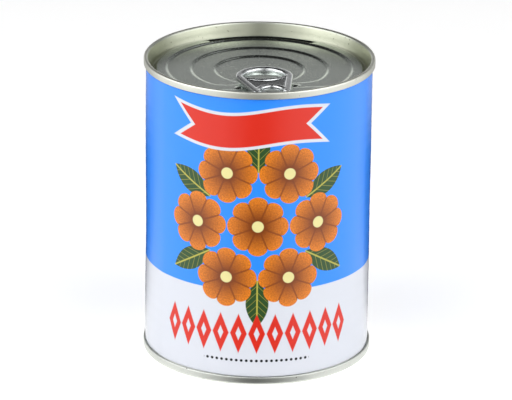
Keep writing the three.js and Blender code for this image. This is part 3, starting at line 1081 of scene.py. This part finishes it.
@dataclass
class BeadedBody:
    """The welded tube with its rolled beads, its flared edges and the raised line of its weld."""

    low: float
    high: float
    top: float
    radius: float = 42.2 * MM
    wall: float = 0.25 * MM
    seam_height: float = 2.9 * MM
    flare_depth: float = 2.1 * MM
    flare_low: float = 42.9 * MM
    flare_high: float = 43.05 * MM
    bead_low: float = 32 * MM
    bead_high: float = 84 * MM
    beads: int = 5
    bead_depth: float = 0.35 * MM
    weld_bearing: float = 98.0
    weld_height: float = 0.1 * MM
    weld_half: float = 0.9 * MM

    def raise_weld(self, places: Array) -> Array:
        """Lifts the narrow lap of the weld.

        Args:
            places: N by 3 array of places.

        Returns:
            The places, with the lap raised.
        """
        reach = np.hypot(places[:, 0], places[:, 1])
        aside = np.arctan2(places[:, 1], places[:, 0]) - math.radians(self.weld_bearing)
        lift = self.weld_height * hump(aside * self.radius, self.weld_half)
        places[:, :2] *= (1 + lift / np.maximum(reach, MM))[:, None]
        return places

    def build(self, finish: Finish) -> Piece:
        """Builds the tube and puts it in place of its plain solid.

        Args:
            finish: The tube's material.

        Returns:
            The tube.
        """
        heights = np.linspace(self.bead_low, self.bead_high, self.beads * 10 + 1)
        length = (self.bead_high - self.bead_low) / self.beads

        def depth(height: float) -> float:
            """Depth of the beads at a height."""
            return self.bead_depth * (0.5 - 0.5 * math.cos(math.tau * (height - self.bead_low) / length))

        outer = [
            (self.flare_low, self.low),
            (self.flare_low, self.flare_depth),
            (self.radius, self.seam_height),
            *[(self.radius - depth(z), z) for z in heights],
            (self.radius, self.top - self.seam_height),
            (self.flare_high, self.top - self.flare_depth),
            (self.flare_high, self.high),
        ]
        inner = [(reach - self.wall, z) for reach, z in reversed(outer)]
        piece = Bench.spin("beaded_body", [*outer, *inner], 192)
        Bench.reshape(piece, self.raise_weld)
        Bench.smooth(piece, finish)
        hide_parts("can_body")
        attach(piece, Body.TIN.value)
        return piece


@dataclass
class PaperLabel:
    """One turn of printed paper, lapped over its start, with the slack and creases of a real wrap.

    Bearings are in degrees from the middle of the front. A ridge has its bearing, width and
    rise. A crease has its place across and up, slope, length and depth. Both are in millimetres.
    """

    low: float
    high: float
    radius: float = 42.5 * MM
    thickness: float = 0.1 * MM
    lap_lift: float = 0.2 * MM
    columns: int = 300
    rows: int = 120
    ripple: float = 0.02 * MM
    ripple_pitch: float = 5.2
    rippled: Pair = (8.0, 108.0)
    ripple_fade: float = 6.0
    wander: float = 0.05 * MM
    loose: Triple = (-88.0, 16.0, 0.22 * MM)
    ridges: tuple[Triple, ...] = ((-56.0, 6.0, 0.13), (70.0, 7.0, 0.12), (-18.0, 5.0, 0.03))
    creases: tuple[tuple[float, ...], ...] = (
        (14.0, 7.5, 0.9, 7.0, 0.1),
        (-24.0, 12.0, -0.5, 8.0, 0.09),
        (-55.0, 54.0, 0.25, 9.0, 0.08),
        (38.0, 16.0, -0.8, 6.0, 0.06),
        (-6.0, 24.0, 0.1, 16.0, 0.03),
    )
    crease_half: float = 0.9
    dips: tuple[Triple, ...] = ((-66.0, 9.0, 0.45 * MM), (-40.0, 9.0, 0.2 * MM))
    dip_start: float = 0.9

    def slack(self, share: Array, height: Array) -> Array:
        """How far the paper stands off the tin.

        Args:
            share: Place along the strip, from 0 to 1.
            height: Height in metres.

        Returns:
            The stand-off in metres.
        """
        z = height / MM
        side = LABEL_START + share * LABEL_SWEEP - FRONT_BEARING
        off = self.lap_lift * eased((share * LABEL_SWEEP - (360.0 - LABEL_LAP)) / LABEL_LAP)
        low, high = self.rippled
        inside = eased((z - low) / self.ripple_fade) * eased((high - z) / self.ripple_fade)
        off += self.ripple * np.sin(z * math.tau / self.ripple_pitch) * inside
        wave = np.sin(z * 0.11 + side * 0.05) * np.sin(z * 0.043 - side * 0.021 + 1.3)
        off += self.wander * (1 + wave)
        bearing, width, rise = self.loose
        off += rise * hump(side - bearing, width) * (0.5 + 0.5 * np.sin(z * 0.082 + 0.6))
        for bearing, width, rise in self.ridges:
            off += rise * MM * np.clip(1 - np.abs(side - bearing) / width, 0, 1)
        for across, up, slope, length, depth in self.creases:
            dx = np.radians(side) * self.radius / MM - across
            dz = z - up
            along = dx * math.cos(slope) + dz * math.sin(slope)
            over = dz * math.cos(slope) - dx * math.sin(slope)
            off += depth * MM * hump(along, length) * hump(over, self.crease_half)
        return off

    def wrap(self, places: Array) -> Array:
        """Rolls the flat sheet round the tin.

        Args:
            places: N by 3 array of places in a square of side 1 round zero.

        Returns:
            The places round the tin.
        """
        share = places[:, 0] + 0.5
        up = places[:, 1] + 0.5
        bearing = LABEL_START + share * LABEL_SWEEP
        dip = sum(rise * hump(bearing - FRONT_BEARING - at, width) for at, width, rise in self.dips)
        edge = eased((up - self.dip_start) / (1 - self.dip_start))
        height = self.low + up * (self.high - dip * edge - self.low)
        reach = self.radius + self.slack(share, height)
        angle = np.radians(bearing)
        return np.column_stack((reach * np.cos(angle), reach * np.sin(angle), height))

    def build(self, finish: Finish) -> Piece:
        """Builds the label and puts it in place of its plain solid.

        Args:
            finish: The printed paper.

        Returns:
            The label.
        """
        Bench.clear_choice()
        bpy.ops.mesh.primitive_grid_add(x_subdivisions=self.columns, y_subdivisions=self.rows, size=1)
        piece = bpy.context.object
        piece.name = piece.data.name = "wrapped_label"
        piece.data.uv_layers[0].name = "wrap"
        Bench.reshape(piece, self.wrap)
        Bench.apply(piece, "SOLIDIFY", thickness=self.thickness, offset=1.0)
        Bench.smooth(piece, finish, 60.0)
        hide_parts("paper_label")
        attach(piece, Body.TIN.value)
        return piece


@dataclass
class RingPull:
    """The pull tab: a curled rim round a finger hole, a thin web, and a rounded nose at its hinge.

    Depths are counted down from the top of the tin. Sections are a width and a height.
    """

    top: float
    top_depth: float = 1.95 * MM
    thickness: float = 2.0 * MM
    hinge: float = -37.1 * MM
    ring_centre: Pair = (0.0, -16.4 * MM)
    ring_radius: float = 10.85 * MM
    bar: float = 2.8 * MM
    shoulder: Pair = (6.9 * MM, -33.6 * MM)
    foot_inset: float = 0.95
    foot_drop: float = 0.6 * MM
    rim_power: float = 2.8
    nose_half: float = 3.6 * MM
    nose_start: float = 0.8 * MM
    nose_bulge: float = 0.1 * MM
    window: float = 4.3 * MM
    curl_ends: Pair = (8, 172)
    curl_power: float = 2.4
    curl_width: float = 1.6 * MM
    curl_inset: float = 0.7 * MM
    curl_depths: Pair = (2.1 * MM, 5.0 * MM)
    edge_end: Pair = (8.2 * MM, -17.9 * MM)
    edge_middle: float = -23.4 * MM
    edge_depth: float = 2.9 * MM
    edge_section: Pair = (2.1 * MM, 1.7 * MM)
    web: float = 0.5 * MM
    web_depth: float = 2.7 * MM
    web_end: Pair = (8.6 * MM, -18.2 * MM)
    web_middle: float = -23.8 * MM
    web_front: float = 5.4 * MM
    web_slope: float = 0.085
    web_level: float = -21.6 * MM
    arch_ends: Pair = (-18, 198)
    arch_radius: float = 5.35 * MM
    arch_depth: float = 2.9 * MM
    arch_section: Pair = (2.3 * MM, 1.8 * MM)
    voxel: float = 0.17 * MM

    @property
    def middle(self) -> float:
        """Height of the tab's middle."""
        return self.top - self.top_depth - self.thickness / 2

    def section(self, width: float, height: float, power: float = 2.0) -> list[Pair]:
        """A soft-cornered section.

        Args:
            width: Full width.
            height: Full height.
            power: 2 for an ellipse, more for a squarer one.

        Returns:
            The section's points.
        """
        points = []
        for part in range(32):
            angle = math.tau * part / 32
            pair = ((math.cos(angle), width), (math.sin(angle), height))
            points.append(tuple(math.copysign(abs(way) ** (2 / power), way) * full / 2 for way, full in pair))
        return points

    def arc(self, centre: Pair, radius: float, ends: Pair, parts: int, level: float) -> list[Vector]:
        """Points on a level arc.

        Args:
            centre: X and Y of its middle.
            radius: The arc's radius.
            ends: First and last angle in degrees.
            parts: Number of parts.
            level: Its height.

        Returns:
            The points in order.
        """
        points = []
        for part in range(parts + 1):
            angle = math.radians(ends[0] + (ends[1] - ends[0]) * part / parts)
            x, y = centre[0] + radius * math.cos(angle), centre[1] + radius * math.sin(angle)
            points.append(Vector((x, y, level)))
        return points

    def across(self, end: Pair, middle: float, level: float, parts: int) -> list[Vector]:
        """The bowed line across the tab, at the front of the finger hole."""
        left, right = (Vector((side * end[0], end[1], level)) for side in (-1, 1))
        return bow(left, Vector((0.0, middle, level)), right, parts)

    def runs(self) -> dict[str, tuple[list[Vector], list[Pair]]]:
        """The tab's rolled edges, as paths and the sections that are swept along them.

        The rim goes round the ring and down both bars, and the nose lies on the hinge line. The
        inner curl at the back of the finger hole reaches lower than the rim, the web's edge is the
        hole's rolled front, and the arch is a raised bead round the rivet window.

        Returns:
            The path and the section of each edge by name.
        """
        inset = self.bar / 2
        ring = self.arc(self.ring_centre, self.ring_radius - inset, (0, 180), 48, self.middle)
        side, back = self.shoulder
        foot = Vector((side - inset * self.foot_inset, back - self.foot_drop, self.middle))
        mirrored = Vector((-foot.x, foot.y, foot.z))
        shares = [part / 14 for part in range(15)]
        right = [foot.lerp(ring[0], share) for share in shares[:-1]]
        left = [ring[-1].lerp(mirrored, share) for share in shares[1:]]
        out = side - self.thickness / 2
        start = Vector((out, back + self.nose_start, self.middle))
        corner = Vector((out - self.nose_bulge, self.hinge, self.middle))
        nose = bow(start, corner, Vector((self.nose_half, self.hinge, self.middle)), 12)
        nose += [Vector((-point.x, point.y, point.z)) for point in reversed(nose)]
        high, low = (self.top - depth for depth in self.curl_depths)
        inner = self.ring_radius - self.bar + self.curl_inset
        curl = self.arc(self.ring_centre, inner, self.curl_ends, 56, (high + low) / 2)
        edge = self.across(self.edge_end, self.edge_middle, self.top - self.edge_depth, 24)
        arch = self.arc((0.0, RIVET_Y), self.arch_radius, self.arch_ends, 40, self.top - self.arch_depth)
        return {
            "rim": ([*right, *ring, *left], self.section(self.bar, self.thickness, self.rim_power)),
            "nose": (nose, self.section(self.thickness, self.thickness)),
            "hole_curl": (curl, self.section(self.curl_width, high - low, self.curl_power)),
            "web_edge": (edge, self.section(*self.edge_section)),
            "arch": (arch, self.section(*self.arch_section)),
        }

    def web_plate(self) -> Piece:
        """The thin web between the finger hole and the rivet window.

        Returns:
            The web, which falls from the finger hole to the nose.
        """
        foot = self.shoulder[1]
        edge = self.across(self.web_end, self.web_middle, 0.0, 20)
        window = self.arc((0.0, RIVET_Y), self.window, (0, 180), 24, 0.0)
        outline = [(point.x, point.y) for point in edge]
        outline += [(self.web_front, foot), (self.window, foot)]
        outline += [(point.x, point.y) for point in window]
        outline += [(-self.window, foot), (-self.web_front, foot)]
        high = self.top - self.web_depth
        piece = Bench.plate("web", outline, high - self.web, high)

        def slope(places: Array) -> Array:
            """Lets the web fall from the finger hole to the nose."""
            places[:, 2] += (places[:, 1] - self.web_level) * self.web_slope
            return places

        Bench.reshape(piece, slope)
        return piece

    def build(self, finish: Finish) -> Piece:
        """Builds the tab and puts it in place of its plain solid.

        Args:
            finish: The tab's material.

        Returns:
            The tab.
        """
        parts = [Bench.tube(name, *run) for name, run in self.runs().items()]
        piece = parts[0]
        Bench.join(*parts[:-1], self.web_plate(), parts[-1])
        piece.name = piece.data.name = "ring_pull_tab"
        Bench.apply(piece, "REMESH", mode="VOXEL", voxel_size=self.voxel)
        Bench.apply(piece, "SMOOTH", factor=0.5, iterations=4)
        Bench.turn_about_rivet(piece)
        Bench.seal(piece)
        Bench.smooth(piece, finish, 80.0)
        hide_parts("pull_tab")
        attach(piece, Body.RING_PULL.value)
        return piece


@dataclass
class Tongue:
    """The flat tongue under the rivet head."""

    top: float
    half_width: float = 3.6 * MM
    front: float = -35.6 * MM
    hole: float = 1.9 * MM
    thickness: float = 0.5 * MM
    bevel: float = 0.1 * MM

    def square_front(self, places: Array) -> Array:
        """Draws the front half of the disc out to a straight edge.

        Args:
            places: N by 3 array of places.

        Returns:
            The places with the front squared.
        """
        dx, dy = places[:, 0], places[:, 1] - RIVET_Y
        outer = (np.hypot(dx, dy) > self.half_width * 0.9) & (dy < 0)
        reach = np.maximum(np.abs(dx) / self.half_width, np.abs(dy) / (RIVET_Y - self.front))
        grow = np.where(outer, 1 / np.maximum(reach, 1e-6), 1.0)
        return np.column_stack((dx * grow, RIVET_Y + dy * grow, places[:, 2]))

    def build(self, finish: Finish) -> Piece:
        """Builds the tongue and puts it in place of its plain solid.

        Args:
            finish: The tongue's material.

        Returns:
            The tongue.
        """
        centre = (0, RIVET_Y, self.top)
        ratio = self.half_width / self.hole
        Bench.clear_choice()
        bpy.ops.mesh.primitive_circle_add(vertices=64, radius=self.hole, location=centre)
        piece = bpy.context.object
        piece.name = piece.data.name = "rivet_tongue"
        bpy.ops.object.mode_set(mode="EDIT")
        bpy.ops.mesh.select_all(action="SELECT")
        bpy.ops.mesh.extrude_edges_move(TRANSFORM_OT_translate={"value": (0, 0, 0)})
        bpy.ops.transform.resize(value=(ratio, ratio, 1), center_override=centre)
        bpy.ops.object.mode_set(mode="OBJECT")
        Bench.settle(piece)
        Bench.reshape(piece, self.square_front)
        Bench.apply(piece, "SOLIDIFY", thickness=self.thickness, offset=-1.0)
        Bench.seal(piece)
        Bench.apply(piece, "BEVEL", width=self.bevel, segments=3, limit_method="ANGLE")
        Bench.turn_about_rivet(piece)
        Bench.smooth(piece, finish)
        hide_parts("tab_tongue")
        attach(piece, Body.TIN.value)
        return piece


@dataclass(frozen=True)
class Softbox:
    """One rectangular soft light, aimed at the tin's axis."""

    name: str
    place: Triple
    size: Pair
    brightness: float
    aim: float

    def build(self) -> None:
        """Hangs the light; its power follows from its brightness and area."""
        data = bpy.data.lights.new(self.name, "AREA")
        data.shape = "RECTANGLE"
        data.size, data.size_y = self.size
        data.energy = self.brightness * math.pi * self.size[0] * self.size[1]
        holder = bpy.data.objects.new(self.name, data)
        holder.location = self.place
        facing = Vector((0, 0, self.aim)) - Vector(self.place)
        holder.rotation_euler = facing.to_track_quat("-Z", "Y").to_euler()
        bpy.context.scene.collection.objects.link(holder)


@dataclass
class Studio:
    """Pale floor, soft lights on both sides and overhead, a dim room and the camera."""

    focal_length: float = 297.25
    camera_place: Triple = (-2.791 * MM, -1513.479 * MM, 609.64 * MM)
    pitch: float = 0.34939
    yaw: float = 0.001345
    roll: float = 0.0113
    lights: tuple[Softbox, ...] = (
        Softbox("left_softbox", (-0.8, -0.14, 0.4), (1.0, 0.8), 1.3, 0.06),
        Softbox("right_softbox", (0.8, -0.18, 0.4), (1.0, 0.8), 1.0, 0.06),
        Softbox("left_overhead", (-0.52, -0.45, 0.95), (0.7, 0.9), 2.1, 0.06),
        Softbox("right_overhead", (0.52, -0.45, 0.95), (0.7, 0.9), 2.1, 0.06),
        Softbox("rear_overhead", (0.5, 0.6, 0.9), (0.45, 0.45), 0.7, 0.11),
    )
    floor_size: float = 10.0
    floor_grey: float = 0.93
    floor_glow: float = 0.4
    ring_reach: Pair = (0.0443, 1.5)
    ring_heights: Pair = (0.0002, 0.0003)
    far_reach: Pair = (0.237, 0.33)
    far_places: Pair = (0.3, 0.45)
    far_share: float = 0.4
    room_height: Ramp = (0.38, 0.58, 1.0, 0.03)
    room_depth: Ramp = (-0.2, 0.5, 1.15, 0.22)
    gap_middle: Ramp = (0.04, 0.2, 0.97, 0.0)
    gap_front: Ramp = (-0.8, 0.0, 1.0, 0.0)
    glow_low: Ramp = (0.16, 0.3, 0.85, 0.0)
    glow_behind: Ramp = (0.75, 0.92, 0.0, 1.0)
    table_stops: tuple[Pair, ...] = (
        (0.0, 0.0),
        (0.13, 0.03),
        (0.2, 0.25),
        (0.29, 0.85),
        (0.4, 1.0),
        (0.82, 0.98),
        (0.92, 0.85),
        (0.975, 0.45),
        (1.0, 0.08),
    )

    def camera(self) -> None:
        """Sets up the camera at the photograph's viewing angle."""
        data = bpy.data.cameras.new("camera")
        data.sensor_width = 36.0
        data.lens = self.focal_length
        data.clip_start, data.clip_end = 0.05, 50.0
        holder = bpy.data.objects.new("camera", data)
        bpy.context.scene.collection.objects.link(holder)
        level = math.cos(self.pitch)
        forward = Vector((math.sin(self.yaw) * level, math.cos(self.yaw) * level, -math.sin(self.pitch)))
        right = Vector((math.cos(self.yaw), -math.sin(self.yaw), 0))
        up = right.cross(forward)
        rolled_right = right * math.cos(self.roll) + up * math.sin(self.roll)
        rolled_up = up * math.cos(self.roll) - right * math.sin(self.roll)
        turn = Matrix((rolled_right, rolled_up, -forward)).transposed().to_4x4()
        holder.matrix_world = Matrix.Translation(self.camera_place) @ turn
        bpy.context.scene.camera = holder

    def floor(self) -> None:
        """Lays the plain pale floor."""
        Bench.clear_choice()
        bpy.ops.mesh.primitive_plane_add(size=self.floor_size, location=(0, 0, 0))
        floor = bpy.context.object
        floor.name = "floor"
        shader = Shader("pale_floor")
        shader.set(Base_Color=(self.floor_grey,) * 3, Roughness=0.9)
        shader.set(Emission_Color=(1.0, 1.0, 1.0), Emission_Strength=self.floor_glow)
        floor.data.materials.append(shader.material)

    def table_glow(self) -> None:
        """Lays a ring just over the floor that only reflections see: dim before and behind the tin."""
        (near, rim), (low, high) = self.ring_reach, self.ring_heights
        ring = Bench.spin("table_glow", [(near, low), (rim, low), (rim, high), (near, high)], 64)
        shader = Shader("table_glow")
        x, y, _ = shader.split(shader.object)
        distance = shader.length(x, y)
        place = shader.math("MULTIPLY_ADD", shader.math("DIVIDE", y, distance), -0.5, 0.5)
        far = shader.span(distance, *self.far_reach, 0.0, self.far_share)
        far = shader.product(far, shader.span(place, *self.far_places, 1.0, 0.0))
        ramp = shader.node("ShaderNodeValToRGB", {0: place})
        stops = ramp.color_ramp.elements
        while len(stops) < len(self.table_stops):
            stops.new(0.5)
        for stop, (position, level) in zip(stops, self.table_stops):
            stop.position = position
            stop.color = (level, level, level, 1.0)
        glow = shader.mix(far, ramp.outputs[0], (1.0, 1.0, 1.0))
        shader.set(Base_Color=(0.0, 0.0, 0.0), Roughness=1.0, Specular_IOR_Level=0.0)
        shader.set(Emission_Color=glow, Emission_Strength=1.0)
        ring.data.materials.append(shader.material)
        ring.visible_camera = ring.visible_diffuse = False
        ring.visible_transmission = ring.visible_shadow = False

    def room(self) -> None:
        """Fills the room with dim light: bright low behind the tin, nearly dark overhead."""
        world = bpy.data.worlds.new("room")
        world.use_nodes = True
        tree = Tree(world.node_tree)
        x, y, z = tree.split(tree.node("ShaderNodeTexCoord").outputs["Generated"])
        dim = tree.product(tree.span(z, *self.room_height), tree.span(y, *self.room_depth))
        middle = tree.span(tree.size(x), *self.gap_middle)
        gap = tree.difference(1.0, tree.product(middle, tree.span(y, *self.gap_front)))
        low, behind = tree.span(z, *self.glow_low), tree.span(y, *self.glow_behind)
        total = tree.math("MULTIPLY_ADD", low, behind, tree.product(dim, gap))
        background = tree.nodes["Background"].inputs
        tree.feed(background["Strength"], total)
        tree.feed(background["Color"], (1.0, 1.0, 1.0))
        bpy.context.scene.world = world

    def build(self) -> None:
        """Builds the studio round the tin."""
        self.camera()
        self.floor()
        self.table_glow()
        self.room()
        for light in self.lights:
            light.build()
        bpy.context.scene.view_settings.view_transform = "Standard"


def main() -> None:
    """Builds the tin's looks round the frame, then the studio."""
    logging.basicConfig(level=logging.INFO, format="%(message)s")
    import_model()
    lid_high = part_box("top_end")[1]
    base_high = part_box("bottom_end")[1]
    body_low, body_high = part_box("can_body")
    tongue_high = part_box("tab_tongue")[1]
    label_low, label_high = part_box("paper_label")

    panel_steel = LidTinplate("lid_tinplate", linear(211, 218, 211), 0.24, 0.005).make()
    plain_steel = Tinplate("body_tinplate", linear(222, 225, 218), 0.36, 0.004).make()
    tab_steel = Tinplate("tab_tinplate", linear(222, 225, 226), 0.24, 0.002, speck_share=0.0).make()
    printed_radius = 42.65
    wrap = math.radians(LABEL_SWEEP) * printed_radius
    front = wrap * (FRONT_BEARING - LABEL_START) / LABEL_SWEEP
    paper = LabelPrint(wrap, (label_high.z - label_low.z) / MM, front, label_low.z / MM).make()

    for part, finish in (
        (EasyOpenEnd(lid_high.z, lid_high.x), panel_steel),
        (BaseEnd(base_high.x), plain_steel),
        (BeadedBody(body_low.z, body_high.z, lid_high.z), plain_steel),
        (PaperLabel(label_low.z - 0.2 * MM, label_high.z + 0.3 * MM), paper),
        (RingPull(lid_high.z), tab_steel),
        (Tongue(tongue_high.z), tab_steel),
    ):
        LOG.info("built %s", part.build(finish).name)

    compound = Plain("sealing_compound", linear(96, 90, 82), linear(112, 106, 96), 0.8, 900.0, 0.02).make()
    fruit = Plain("fruit_flesh", linear(236, 230, 214), linear(214, 204, 180), 0.3, 220.0, 0.05).make()
    liquid = Plain("heavy_syrup", linear(236, 205, 140), linear(226, 190, 120), 0.08, 30.0, 0.01, 0.6).make()
    for node, finish in (
        ("top_compound", compound),
        ("bottom_compound", compound),
        ("peeled_fruit", fruit),
        ("syrup", liquid),
    ):
        Bench.dress(bpy.data.objects[node], finish)
        LOG.info("dressed %s", node)

    Studio().build()


if __name__ == "__main__":
    main()
